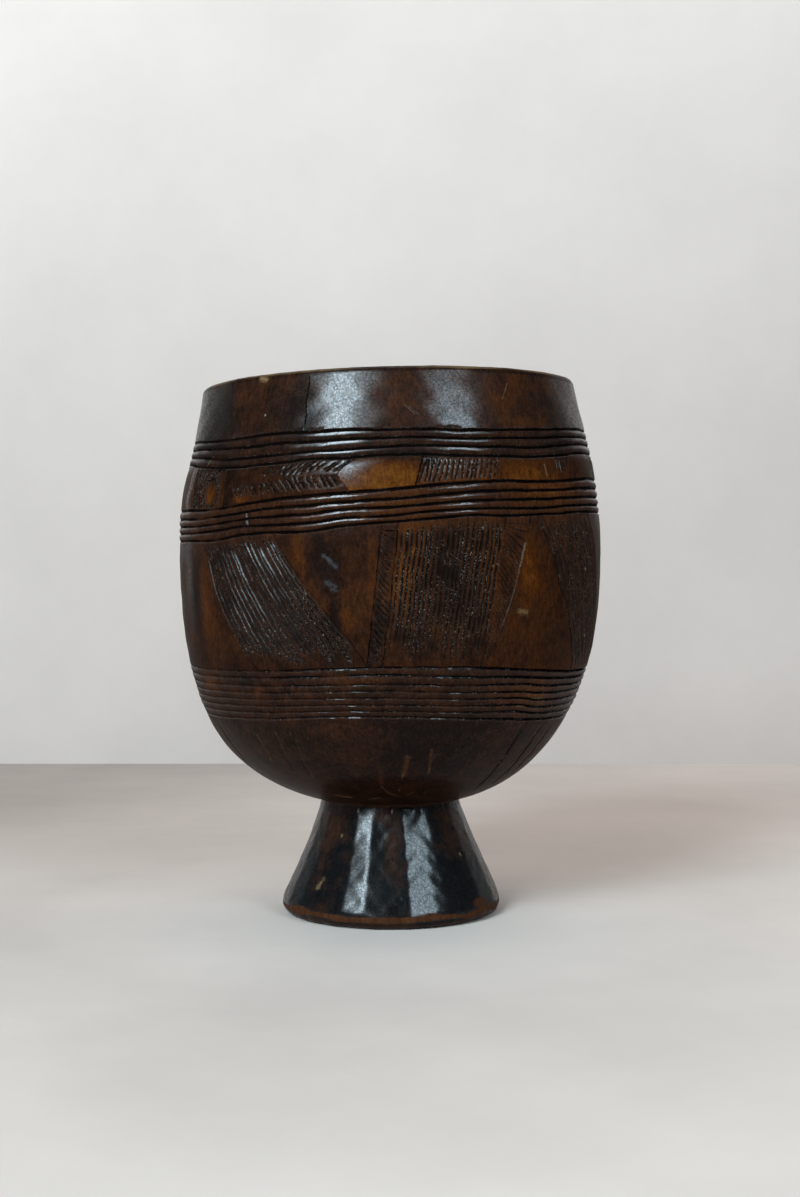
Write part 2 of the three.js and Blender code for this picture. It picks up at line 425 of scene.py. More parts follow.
# Collects the grids of one closed piece: points, finish values and faces
class Skin:
    def __init__(self):
        self.points, self.marks, self.faces = [], [], []
        self.count = 0

    # Adds a grid of points and the four-sided faces in it; rows run up and columns to the right.
    def grid(self, points, cut=0.0, bare=0.0, worn=0.0, shine=0.12, closed=False):
        rows, columns = points.shape[:2]
        index = np.arange(rows * columns).reshape(rows, columns) + self.count
        self.count += rows * columns
        self.points.append(points.reshape(-1, 3))
        marks = [np.broadcast_to(mark, (rows, columns)).reshape(-1) for mark in (cut, bare, worn, shine)]
        self.marks.append(np.stack(marks, -1))
        wide = np.concatenate([index, index[:, :1]], 1) if closed else index
        self.quads(wide)
        return index

    def quads(self, index):
        corners = index[:-1, :-1], index[:-1, 1:], index[1:, 1:], index[1:, :-1]
        self.faces.append(np.stack(corners, -1).reshape(-1, 4))

    # Closes the strip between two rows of points, low and high, that have different numbers of them:
    # at each step the row whose next point comes first moves on, which gives one three-sided face.
    def stitch(self, low, high, lowAt, highAt):
        lowSteps = (lowAt[1:] + lowAt[:-1]) / 2
        highSteps = (highAt[1:] + highAt[:-1]) / 2
        order = np.argsort(np.concatenate([lowSteps, highSteps]), kind="stable")
        onLow = order < len(lowSteps)
        i = np.concatenate([[0], np.cumsum(onLow)])[:-1]
        j = np.concatenate([[0], np.cumsum(~onLow)])[:-1]
        third = np.where(onLow, low[np.minimum(i + 1, len(low) - 1)],
                         high[np.minimum(j + 1, len(high) - 1)])
        self.faces.append(np.stack([low[i], third, high[j]], -1))

    # The same all the way round, where each row comes as its points and their angles. The low row is
    # counted again from where the high one starts.
    def stitchRound(self, low, high):
        (lowIndex, lowAngle), (highIndex, highAngle) = low, high
        onward = (lowAngle - highAngle[0]) % 360
        order = np.argsort(onward, kind="stable")
        lowIndex, lowAngle = lowIndex[order], onward[order] + highAngle[0]
        self.stitch(np.append(lowIndex, lowIndex[0]), np.append(highIndex, highIndex[0]),
                    np.append(lowAngle, lowAngle[0] + 360), np.append(highAngle, highAngle[0] + 360))

    # Closes the middle of a ring with a fan of faces; the ring is seen from outside running right.
    def fan(self, ring, point, facing, worn=0.0):
        middle = self.count
        self.count += 1
        self.points.append(np.array([point], float))
        self.marks.append(np.array([[0.0, 0.0, worn, 0.1]]))
        after = np.roll(ring, -1)
        middles = np.full(len(ring), middle)
        three = (ring, after, middles) if facing == "up" else (after, ring, middles)
        self.faces.append(np.stack(three, -1))

    def build(self, name, finish, sharpFrom):
        points = np.concatenate(self.points) / 1000
        mesh = bpy.data.meshes.new(name)
        mesh.vertices.add(len(points))
        mesh.vertices.foreach_set("co", points.astype(np.float32).ravel())
        sizes = np.concatenate([np.full(len(part), part.shape[1]) for part in self.faces])
        corners = np.concatenate([part.ravel() for part in self.faces])
        mesh.loops.add(len(corners))
        mesh.loops.foreach_set("vertex_index", corners.astype(np.int32))
        mesh.polygons.add(len(sizes))
        starts = np.concatenate([[0], np.cumsum(sizes)[:-1]])
        mesh.polygons.foreach_set("loop_start", starts.astype(np.int32))
        mesh.polygons.foreach_set("loop_total", sizes.astype(np.int32))
        mesh.update(calc_edges=True)
        mesh.validate()
        marks = np.concatenate(self.marks)
        for column, label in enumerate(("cut", "bare", "worn", "shine")):
            layer = mesh.attributes.new(label, "FLOAT", "POINT")
            layer.data.foreach_set("value", marks[:, column].astype(np.float32))
        mesh.shade_smooth()
        mesh.set_sharp_from_angle(angle=math.radians(sharpFrom))
        mesh.materials.append(finish)
        piece = bpy.data.objects.new(name, mesh)
        scene.collection.objects.link(piece)
        print(name, "has", int((sizes - 2).sum()), "triangles")
        return piece


# The three bands of grooves. Each groove is a height for each of these angles, as the carver's hand went.
grooveAngles = (-75, -60, -50, -40, -30, -20, -10, 0, 10, 20, 30, 40, 50, 60, 70)
backAngles = (110, 150, 190, 230, 260)
upperBand = {
    "grooves": (
        (142.5, 141.5, 141.2, 141.5, 142.0, 141.7, 142.0, 141.8, 141.9, 141.5, 141.8, 142.3, 142.8, 143.5,
         144.2),
        (140.0, 139.3, 138.9, 138.5, 139.2, 139.0, 139.5, 139.7, 139.7, 139.2, 139.6, 140.0, 140.7, 141.3,
         142.0),
        (138.0, 136.7, 135.5, 135.4, 135.7, 136.3, 136.5, 137.3, 137.5, 137.2, 137.2, 137.2, 138.2, 139.2,
         140.0),
        (136.0, 133.8, 133.3, 133.0, 133.5, 134.2, 134.3, 135.0, 135.0, 134.5, 134.6, 134.7, 135.5, 136.7,
         137.3),
    ),
    "back": (144.4, 144.0, 143.2, 142.6, 142.5),
    "spacing": 2.25,
    "depth": 0.78,
    "strength": ((-180, -75, -52, -30, 0, 60, 110), (0.9, 0.55, 0.62, 0.95, 1.0, 0.95, 0.9)),
    "ridge": ((0.12, 0.88, 1.0, 0.0), (0.19, 0.52, 0.6, 0.1), (0.29, 0.30, 0.0, 0.2), (0.44, 0.12, 0.0, 0.4),
              (0.57, 0.03, 0.0, 1.2), (0.69, 0.0, 0.0, 1.7), (0.80, 0.03, 0.0, 1.7), (0.86, 0.34, 0.6, 0.5),
              (0.91, 0.84, 1.0, 0.0)),
    "bare": 0.24,
    "shine": 1.15,
}
middleBand = {
    "grooves": (
        (121.8, 121.3, 121.3, 122.2, 123.3, 124.0, 124.7, 125.4, 126.4, 127.3, 127.9, 127.9, 128.4, 129.3,
         130.1),
        (119.2, 118.7, 119.1, 119.9, 121.0, 121.3, 122.3, 122.7, 123.6, 124.7, 125.3, 125.5, 126.0, 126.8,
         127.3),
        (116.9, 116.6, 117.0, 118.1, 118.5, 119.0, 120.4, 120.5, 121.4, 122.3, 122.8, 123.0, 123.7, 124.3,
         124.7),
        (114.9, 114.7, 115.2, 116.2, 116.1, 116.5, 118.0, 118.1, 119.5, 120.1, 120.5, 120.4, 121.4, 122.1,
         122.4),
        (112.7, 112.4, 112.2, 113.8, 114.2, 114.2, 115.9, 116.7, 117.4, 118.7, 118.3, 119.0, 119.5, 120.3,
         120.5),
    ),
    "back": (129.6, 127.8, 125.2, 123.0, 122.0),
    "spacing": 2.3,
    "depth": 0.78,
    "strength": ((-180, -75, -52, -30, 0, 60, 110), (0.9, 0.60, 0.66, 0.95, 1.0, 0.95, 0.9)),
    "ridge": ((0.12, 0.88, 1.0, 0.0), (0.19, 0.50, 0.6, 0.1), (0.29, 0.22, 0.0, 0.2), (0.42, 0.05, 0.0, 0.3),
              (0.56, 0.0, 0.0, 0.8), (0.68, 0.06, 0.0, 1.7), (0.80, 0.15, 0.0, 1.7), (0.86, 0.40, 0.6, 0.5),
              (0.91, 0.84, 1.0, 0.0)),
    "bare": 0.44,
    "shine": 0.75,
}
lowerBand = {
    "grooves": (
        (75.4, 75.4, 75.5, 75.7, 76.0, 76.4, 77.2, 77.3, 77.3, 77.2, 76.7, 76.0, 75.3, 74.6, 74.4),
        (73.4, 73.4, 73.6, 73.8, 74.1, 74.5, 75.2, 75.3, 75.0, 74.4, 74.2, 73.9, 73.1, 72.8, 72.5),
        (71.2, 71.2, 71.4, 71.6, 71.8, 72.0, 72.6, 72.7, 72.4, 72.1, 72.1, 72.0, 70.9, 70.7, 70.5),
        (69.2, 69.2, 69.4, 69.6, 69.9, 70.4, 70.8, 70.9, 70.5, 70.2, 70.0, 69.7, 68.8, 68.8, 68.6),
        (67.2, 67.3, 67.5, 67.7, 68.1, 68.5, 68.9, 68.9, 68.6, 68.3, 68.2, 68.0, 66.7, 66.7, 66.6),
        (65.2, 65.3, 65.5, 65.8, 66.2, 66.6, 67.0, 66.9, 66.7, 66.4, 66.2, 66.0, 64.6, 64.7, 64.7),
        (63.3, 63.4, 63.6, 63.9, 64.4, 64.8, 65.3, 65.2, 64.9, 64.6, 64.4, 64.1, 62.8, 62.8, 62.8),
        (61.3, 61.4, 61.7, 62.1, 62.7, 63.3, 63.7, 63.7, 63.4, 63.0, 62.4, 61.6, 61.1, 60.9, 60.8),
    ),
    "back": (74.8, 75.3, 75.6, 75.5, 75.4),
    "spacing": 2.02,
    "depth": 0.46,
    "strength": ((-180, -90, -60, -38, -25, 0, 25, 32, 45, 75, 110),
                 (0.9, 0.6, 0.20, 0.28, 0.66, 0.62, 0.70, 1.35, 1.85, 1.6, 1.1)),
    "ridge": ((0.12, 0.60, 0.9, 0.0), (0.24, 0.16, 0.22, 0.2), (0.46, 0.02, 0.0, 0.3), (0.68, 0.0, 0.0, 0.5),
              (0.83, 0.10, 0.0, 0.9), (0.91, 0.66, 0.8, 0.6)),
    "bare": 0.26,
    "shine": 0.90,
    "each": (1.3, 1.2, 0.8, 0.7, 0.75, 0.7, 0.75, 1.0),  # depth of each groove as a share of the band's
}


# Heights of a band's grooves at the given angles: soft lines through the knots, with a small waver
def grooveHeights(band, angle, rng):
    every = grooveAngles + backAngles
    lines = []
    for number, seen in enumerate(band["grooves"]):
        back = tuple(height - number * band["spacing"] for height in band["back"])
        line = softLine(angle, every, seen + back, 3.5)
        lines.append(line + 0.05 * waver(angle, rng, 14, 40, 8))
    return np.array(lines)


# One band as a closed grid: narrow grooves with a rounded ridge between each two. The ridge's points are
# given as shares of the way up from one groove to the next, how far each falls back as a share of the
# groove's depth, how much of it counts as cut, which sets its painted shade, and how much it shines.
def carveBand(skin, band, rng):
    front = bowl["front"]
    angle = np.concatenate([np.arange(-front, front, bowl["fine"]),
                            np.arange(front, 360 - front - 0.1, bowl["coarse"])])
    middles = grooveHeights(band, angle, rng)[::-1]
    strength = softLine(angle, *band["strength"], 6)
    shares, falls, darks, shines = (np.array(part) for part in zip(*band["ridge"]))
    pitch = band["spacing"]
    gaps = np.concatenate([[pitch + 0 * angle], np.diff(middles, axis=0), [pitch + 0 * angle]])
    depths = []
    for each in band.get("each", (1.0,) * len(middles))[::-1]:
        skips = np.clip(0.9 + 0.5 * waver(angle, rng, 8, 50, 8) * np.clip(1.3 - strength, 0, 1), 0.2, 1.2)
        depths.append(band["depth"] * each * strength * skips * (1 + 0.14 * waver(angle, rng, 30, 120, 8)))
    heights, outs, cuts, gloss = [], [], [], []
    for number in range(len(middles) + 1):
        low = middles[max(number - 1, 0)] - (gaps[0] if number == 0 else 0)
        for share, fall, dark, shine in zip(shares, falls, darks, shines):
            if (number == 0 and share < 0.7) or (number == len(middles) and share > 0.2):
                continue
            deep = depths[max(number - 1, 0)] if share < 0.5 or number == len(middles) else depths[number]
            worn = 1 + 0.2 * waver(angle, rng, 30, 130, 8)
            heights.append(low + share * gaps[number] + 0.03 * waver(angle, rng, 60, 160, 8) * (fall < 0.5))
            outs.append(-fall * deep * worn)
            cuts.append(dark * np.clip(deep / band["depth"], 0, 1.8))
            gloss.append(shine * band["shine"] + 0 * angle)
        if number < len(middles):
            heights.append(middles[number])
            outs.append(-depths[number])
            cuts.append(np.clip(depths[number] / band["depth"], 0, 1))
            gloss.append(0 * angle)
    heights = np.array(heights)
    points = onOutside(angle, heights, np.array(outs))
    bare = band["bare"] + placesAt(bowl["rubbed"], angle, heights, bowl["turns"])
    index = skin.grid(points, np.array(cuts), np.clip(bare, 0, 1.3), 0.0, np.array(gloss), closed=True)
    return {"lowest": (index[0], angle), "highest": (index[-1], angle), "below": (angle, heights[0]),
            "above": (angle, heights[-1])}


def smooth(value):
    value = np.clip(value, 0, 1)
    return value * value * (3 - 2 * value)


# 1 between start and stop, falling softly to 0 at both
def inside(value, start, stop, soft):
    return smooth((value - start) / soft) * smooth((stop - value) / soft)


# Puts the columns of like grids in turn side by side, without the very last one
def inTurn(*grids):
    return np.stack(grids, -1).reshape(len(grids[0]), -1)[:, :-1]


# A stretch of the outside between two courses, low and high, which give a height for an angle. It is cut in
# rows at shares of the way up, and falls are how far it falls back at the lower and the upper course.
class Stretch:
    def __init__(self, low, high, shares, rng, falls=(0.0, 0.0)):
        self.low, self.high, self.shares = low, high, shares
        self.rng, self.falls = rng, falls

    def height(self, angle, share):
        return self.low(angle) + (self.high(angle) - self.low(angle)) * share

    # A waver in each row; the stretch counts as 300 degrees, so that it doesn't close.
    def waver(self, fewest, most, count):
        return waver(self.shares * 300, self.rng, fewest, most, count)

    # Angle of a drawn line in each row: the line is looked up, three times over, at the height that the row
    # has at the line's own angle.
    def lineAngle(self, path):
        heights, angles = (np.array(part, float) for part in zip(*path))
        angle = np.full(self.shares.shape, angles.mean())
        for _ in range(3):
            angle = softLine(self.height(angle, self.shares), heights, angles, 0.7, None)
        return angle

    # Middle, half width and depth of the cut along a border, in each row
    def border(self, part):
        width, depth = part["edge"]
        angle = self.lineAngle(part["path"])
        height = self.height(angle, self.shares)
        half = width / 2 / np.radians(np.interp(height, outlineUp, outlineAcross))
        angle = angle + part.get("wobble", 0.12) * self.waver(2, 9, 5)
        depth = depth * (1 + 0.2 * self.waver(4, 14, 5))
        start, stop = part.get("along", (-1.0, 999.0))
        return angle, half, depth * inside(height, start, stop, 1.5)

    # A ladder of short rungs, which has rows of its own: one in each rung, one on both sides of it, and one
    # half way to the next
    def ladder(self, part, left, near, far, depth):
        pitch = 1 / (part["count"] + 1)
        middles = (np.arange(part["count"]) + 1) * pitch
        half = part["width"] / 2 / np.mean(self.high(left) - self.low(left))
        rungs = np.stack([middles - half, middles, middles + half, middles + pitch / 2], 1)
        up = np.concatenate([[0, pitch * 0.4], rungs.ravel()[:-1], [1 - pitch * 0.4, 1]])
        up = np.unique(np.clip(up, 0, 1))
        left, near, far, depth = (np.interp(up, self.shares, line) for line in (left, near, far, depth))
        across = np.linspace(0, 1, part.get("columns", 6))[None, :]
        angle = near[:, None] + (far - near)[:, None] * across
        lean = part["rise"] / np.mean(self.high(left) - self.low(left))
        calm = inside(up, 0, 1, 0.2)
        share = up[:, None] + lean * calm[:, None] * (0.5 - across)
        deep = np.zeros(len(up))
        for middle in middles:
            deep[np.argmin(abs(up - middle))] = self.rng.uniform(0.5, 1.1)
        reach = 1 - abs(2 * across - 1)**6
        cut = deep[:, None] * reach
        gleam = np.roll(deep, -1)[:, None] * reach
        share = np.concatenate([up[:, None], share], 1)
        return share, left, angle, depth, -part["depth"] * cut, cut, gleam

    # Cuts side by side from bottom to top, each with its own drift, width, strength and ends
    def hatch(self, part, left, gap):
        rng, count, up = self.rng, part["count"], self.shares[:, None]
        drift = rng.uniform(-1, 1, (2, count)) * part.get("uneven", 0.22) / count
        middle = (np.arange(count) + 0.5) / count + drift[0] * (1 - up) + drift[1] * up
        middle = middle + 0.05 / count * np.stack([self.waver(2, 10, 4) for _ in range(count)], 1)
        radius = np.interp(self.height(left, self.shares), outlineUp, outlineAcross)[:, None]
        width = part["width"] * rng.uniform(0.85, 1.15, (1, count))
        width = width * (1 + 0.12 * rng.uniform(-1, 1, middle.shape))
        half = np.minimum(width / 2 / np.radians(radius) / gap, 0.40 / count)
        strong = rng.uniform(0.7, 1.15, count)
        fade = np.interp(up, *part.get("fade", ((0, 1), (1, 1))))
        along = 0
        for start, stop, firstLine in part.get("spans", ((0.0, 1.0, 0),)):
            starts = start + rng.uniform(0, 1, count) * part.get("ragged", 0.04)
            stops = stop - rng.uniform(0, 1, count) * part.get("raggedTop", 0.04)
            along = along + inside(up, starts, stops, 0.05) * (np.arange(count) >= firstLine)
        deep = strong * along * fade * (1 + 0.18 * rng.uniform(-1, 1, middle.shape))
        edge = np.clip(deep, 0, 1) * (1 - part.get("dotted", 0.9) * rng.random(deep.shape))
        land = np.concatenate([(middle[:, 1:] + middle[:, :-1]) / 2, np.ones((len(up), 1))], 1)
        empty = np.zeros_like(deep)
        across = inTurn(middle - half, middle, middle + half, land)
        out = -part["depth"] * inTurn(0.38 * deep, deep, 0.38 * deep, empty)
        return across, out, inTurn(0.35 * deep, deep, 0.35 * deep, empty), inTurn(edge, empty, edge, empty)

    # A field whose rows are those of the stretch: plain, hatched, or with a shape that a function gives
    def columns(self, part, left, near, far):
        up, gap, count = self.shares[:, None], (far - near)[:, None], part["count"]
        if part["kind"] == "hatch":
            across, out, cut, gleam = self.hatch(part, left, gap)
        else:
            across = np.broadcast_to(np.arange(1, count) / count, (len(up), count - 1))
            out = cut = gleam = np.zeros(across.shape)
        across, out, cut, gleam = (np.pad(grid, ((0, 0), (1, 1))) for grid in (across, out, cut, gleam))
        across[:, -1] = 1
        angle = near[:, None] + gap * across
        if part["kind"] == "shape":
            out, cut, gleam = part["shape"](angle, self.height(angle, up))
        share = np.broadcast_to(up, (len(up), across.shape[1] + 1))
        return share, angle, out, cut, gleam

    # The grid of one field: shares up, angles, depths and finish values. The first column is the bottom of
    # the border's cut, the second its right edge, and the last the left edge of the next border.
    def grid(self, part, left, near, far, depth):
        if part["kind"] == "ladder":
            share, left, angle, depth, out, cut, gleam = self.ladder(part, left, near, far, depth)
        else:
            share, angle, out, cut, gleam = self.columns(part, left, near, far)
        deepest = 0.45
        angle = np.concatenate([left[:, None], angle], 1)
        cut = np.concatenate([np.clip(depth / deepest, 0, 1)[:, None], np.clip(cut, 0, 1)], 1)
        out = np.concatenate([-depth[:, None], out], 1)
        bareLow, bareHigh = part["bare"]
        bare = bareLow + (bareHigh - bareLow) * share
        shine = part.get("shine", 0.12) + part.get("gleam", 0.4) * np.pad(gleam, ((0, 0), (1, 0)))
        return share, angle, out, cut, bare, shine

    # Adds all fields to the skin, side by side round the cup, and gives the ends of the stretch.
    def carve(self, skin, parts):
        borders = [self.border(part) for part in parts]
        grids = []
        for number, part in enumerate(parts):
            left, half, depth = borders[number]
            right, nextHalf, _ = borders[(number + 1) % len(parts)]
            if number == len(parts) - 1:
                right = right + 360
            share, angle, out, cut, bare, shine = self.grid(part, left, left + half, right - nextHalf, depth)
            height = self.height(angle, share)
            up, down = np.clip((share - 0.72) / 0.28, 0, 1), np.clip((0.2 - share) / 0.2, 0, 1)
            out = out - self.falls[0] * down**2 - self.falls[1] * up**2
            gloss = placesAt(bowl["glossy"], angle, height, bowl["turns"])
            shine = np.clip(shine + 2.0 * self.falls[1] * up**2 + gloss, 0, 1)
            bare = np.clip(bare + placesAt(bowl["rubbed"], angle, height, bowl["turns"]), 0, 1.3)
            grids.append((skin.grid(onOutside(angle, height, out), cut, bare, 0.0, shine), share, angle))
        for number, (index, share, _) in enumerate(grids):
            after, afterShare, _ = grids[(number + 1) % len(grids)]
            if len(index) == len(after):
                skin.quads(np.stack([index[:, -1], after[:, 0]], 1))
            else:
                skin.stitch(after[:, 0], index[:, -1], afterShare[:, 0], share[:, -1])
        return {name: (np.concatenate([index[end] for index, _, _ in grids]),
                       np.concatenate([angle[end] for _, _, angle in grids]))
                for name, end in (("lowest", 0), ("highest", -1))}


# One field and the border on its left. The border has a path and the width and depth of the cut along it, and
# the field is plain, a hatch, a ladder or a shape, with so many columns, cuts or rungs. bare is at its bottom
# and top. Paths are heights and angles, from the bottom up.
def part(path, wide, deep, kind, count, bare, **more):
    return {"path": path, "edge": (wide, deep), "kind": kind, "count": count, "bare": bare, **more}


def undersideParts():
    parts, cuts = [], bowl["lowerCuts"]
    for number, (angle, lowest, highest, width, depth) in enumerate(cuts):
        gap = (cuts[(number + 1) % len(cuts)][0] - angle) % 360
        parts.append(part(((34, angle), (62, angle + 0.5)), width, depth, "plain", max(2, round(gap / 1.5)),
                          (0.22, 0.16), shine=0.26, along=(lowest, highest), wobble=0.25))
    return parts


# Paths of the borders on the belly, from left to right
fanLeft = ((76, -36.2), (80.6, -40.4), (88.3, -45.2), (98, -50.2), (105, -52.4), (112, -57))
fanRight = ((77, -5.2), (80.5, -7), (85.2, -10), (91, -14.9), (96, -18.3), (100.6, -21.8), (106, -25.2),
            (113, -29.2))
ladderLeft = ((77, -5.1), (80.5, -5), (115, -1.7))
ladderRight = ((77, -1.4), (79, -1.2), (115.5, 2.2))
hatchRight = ((77, 24.6), (79, 25), (92, 26.6), (105, 28.4), (118.5, 30.2))
wedgeRight = ((77, 26.2), (84, 28.4), (87.4, 29.3), (92.8, 30.8), (99.7, 32.9), (105, 34.3), (110.5, 36),
              (116.2, 37.9))
tallRight = ((77, 61), (81, 58.6), (88.2, 54.9), (94.8, 51.9), (99, 48.9), (107.8, 45.9), (113.2, 42.9),
             (118.6, 40.4))
lastFan = ((77, 83), (84, 80), (92, 76.5), (100, 73.6), (106, 71.3), (114.8, 67.2), (119.8, 64))
farPlain = ((77, -88), (100, -86), (116, -84))


def moved(path, turn, squeeze=1.0, about=0.0):
    return tuple((height, about + (angle - about) * squeeze + turn) for height, angle in path)


# Triangles, hatched fans and ladders on the belly. Behind, all but the first come again with other counts.
def bellyParts():
    parts = [
        part(farPlain, 0.8, 0.30, "plain", 12, (0.30, 0.34), shine=0.10),
        part(fanLeft, 0.6, 0.30, "hatch", 17, (0.24, 0.26), width=0.62, depth=0.26, uneven=0.25, ragged=0.12,
             raggedTop=0.03, fade=((0, 0.4, 0.7, 1), (1.2, 1.2, 1.1, 1.0)), gleam=0.65, dotted=0.45),
        part(fanRight, 0.5, 0.22, "plain", 14, (0.30, 0.30), shine=0.06),
        part(ladderLeft, 0.6, 0.36, "ladder", 22, (0.12, 0.24), width=0.5, depth=0.28, rise=4.2),
        part(ladderRight, 0.6, 0.36, "hatch", 21, (0.30, 0.50), width=0.74, depth=0.32, uneven=0.24,
             ragged=0.16, fade=((0, 0.25, 0.4, 1), (0.45, 0.7, 1, 1)), gleam=0.36, dotted=1.0, shine=0.08),
        part(hatchRight, 0.5, 0.34, "ladder", 26, (0.3, 0.45), width=0.55, depth=0.22, rise=7.0, columns=9),
        part(wedgeRight, 0.9, 0.42, "plain", 14, (0.43, 0.43), shine=0.06, along=(86.5, 999.0)),
        part(tallRight, 0.6, 0.40, "hatch", 14, (0.34, 0.46), width=0.66, depth=0.34, uneven=0.3),
        part(lastFan, 0.8, 0.44, "plain", 12, (0.30, 0.36)),
    ]
    again = [{**front, "path": moved(front["path"], 162, 1.06, -57), "count": count}
             for front, count in zip(parts[1:], (16, 12, 18, 22, 24, 12, 15, 14))]
    return parts + again


# Borders of the herringbone in the frieze
kinkRight = ((123.5, -8.2), (126.0, -10.4), (130.0, -13.2), (131.5, -11.6), (134.5, -8.0))
kinkLeft = ((119.5, -40.0), (124.5, -43.0), (128.6, -46.0), (130.4, -44.4), (134.0, -40.5))


# Nested arches to the left of a small almond. q is the distance from the almond's middle measured in its own
# half width and half height, so its rim is at q = 1. The arches are thin ridges at even steps of a like
# distance that is longer upwards and leans to the right at the top. A narrow ridge stands to the right.
def arches(angle, height):
    sideways, upwards = angle + 53.8, height - 126.2
    q = np.hypot(sideways / 3.3, upwards / 3.8)
    nested = np.hypot((sideways - 0.55 * np.maximum(upwards, 0)) / 3.5, upwards / 7.5)
    wave = 0.5 - 0.5 * np.cos(2 * np.pi * (nested - 1.12) / 0.42)
    left = smooth((q - 1.15) / 0.25) * smooth((0.5 - sideways + 0.75 * upwards) / 1.0)
    left = left * smooth((sideways + 10.6) / 0.8)
    lines = np.clip(wave, 0, 1)**0.6
    rim = np.exp(-((q - 1.08) / 0.16)**2)
    ridge = np.exp(-((angle + 49.3) / 0.45)**2) * inside(height, 121.5, 131, 1.5)
    cut = np.clip(0.7 * np.maximum(rim, lines * left) - ridge, 0, 1)
    gleam = left * (1 - lines) + 0.9 * ridge + 0.8 * (1 - smooth((sideways + 10.8) / 1.2))
    return 0.30 * np.clip(1 - q, 0, 1) + 0.10 * ridge - 0.42 * cut, cut, gleam


# The frieze between the two upper bands: nested arches, a herringbone, plain lozenges and short strokes
def friezeParts():
    parts = [
        part(((118, -69), (136, -69)), 0.9, 0.38, "shape", 60, (0.5, 0.42), shape=arches, gleam=0.8),
        part(((118, -47.5), (136, -47.5)), 0.5, 0.0, "plain", 3, (0.15, 0.15)),
        part(kinkLeft, 0.4, 0.0, "hatch", 18, (0.40, 0.24), width=0.52, depth=0.36, uneven=0.3,
             raggedTop=0.05, ragged=0.08, spans=((0.10, 0.58, 0), (0.63, 1.02, 6)), gleam=0.2),
        part(kinkRight, 0.4, 0.16, "plain", 14, (0.95, 0.80), shine=0.14),
        part(((124, 6.2), (128, 7.0), (133.5, 8.4)), 0.6, 0.45, "hatch", 16, (0.75, 0.40), width=0.52,
             depth=0.42, uneven=0.3, raggedTop=0.06, ragged=0.10, gleam=0.12),
        part(((126, 27.6), (133.5, 29.2)), 0.4, 0.30, "plain", 15, (0.70, 0.58), shine=0.2),
        part(((126, 49.8), (135, 50.2)), 0.4, 0.32, "hatch", 4, (0.5, 0.3), width=0.45, depth=0.26,
             spans=((0.35, 1.0, 0),)),
        part(((126, 55.6), (136, 55.6)), 0.4, 0.25, "plain", 16, (0.45, 0.35)),
        part(((126, 76), (136, 76)), 0.8, 0.35, "plain", 6, (0.3, 0.3)),
    ]
    rounds = (
        # behind: turn of the herringbone, the next two borders, four counts, and how bare both lozenges are
        (130, ((120, 139), (138, 141)), ((120, 162), (138, 164)), (19, 18, 17, 16), (0.8, 0.8), (0.8, 0.7)),
        (226, ((118, 238), (138, 239.5)), ((118, 259), (138, 260)), (17, 16, 15, 20), (0.7, 0.8), (0.5, 0.4)),
    )
    for turn, third, fourth, counts, firstBare, secondBare in rounds:
        parts += [
            part(moved(kinkLeft, turn), 0.5, 0.3, "hatch", counts[0], (0.3, 0.25), width=0.64, depth=0.38,
                 uneven=0.3),
            part(moved(kinkRight, turn), 0.5, 0.3, "plain", counts[1], firstBare),
            part(third, 0.6, 0.4, "hatch", counts[2], (0.6, 0.45), width=0.6, depth=0.42, uneven=0.3),
            part(fourth, 0.5, 0.3, "plain", counts[3], secondBare),
        ]
    return parts


def level(height):
    return lambda angle: np.full(np.shape(angle), float(height))


# A band's edge as a course: height at any angle, moved up or down by a step
def course(edge, step):
    angle, height = edge
    return lambda at: np.interp(at, angle, height, period=360) + step


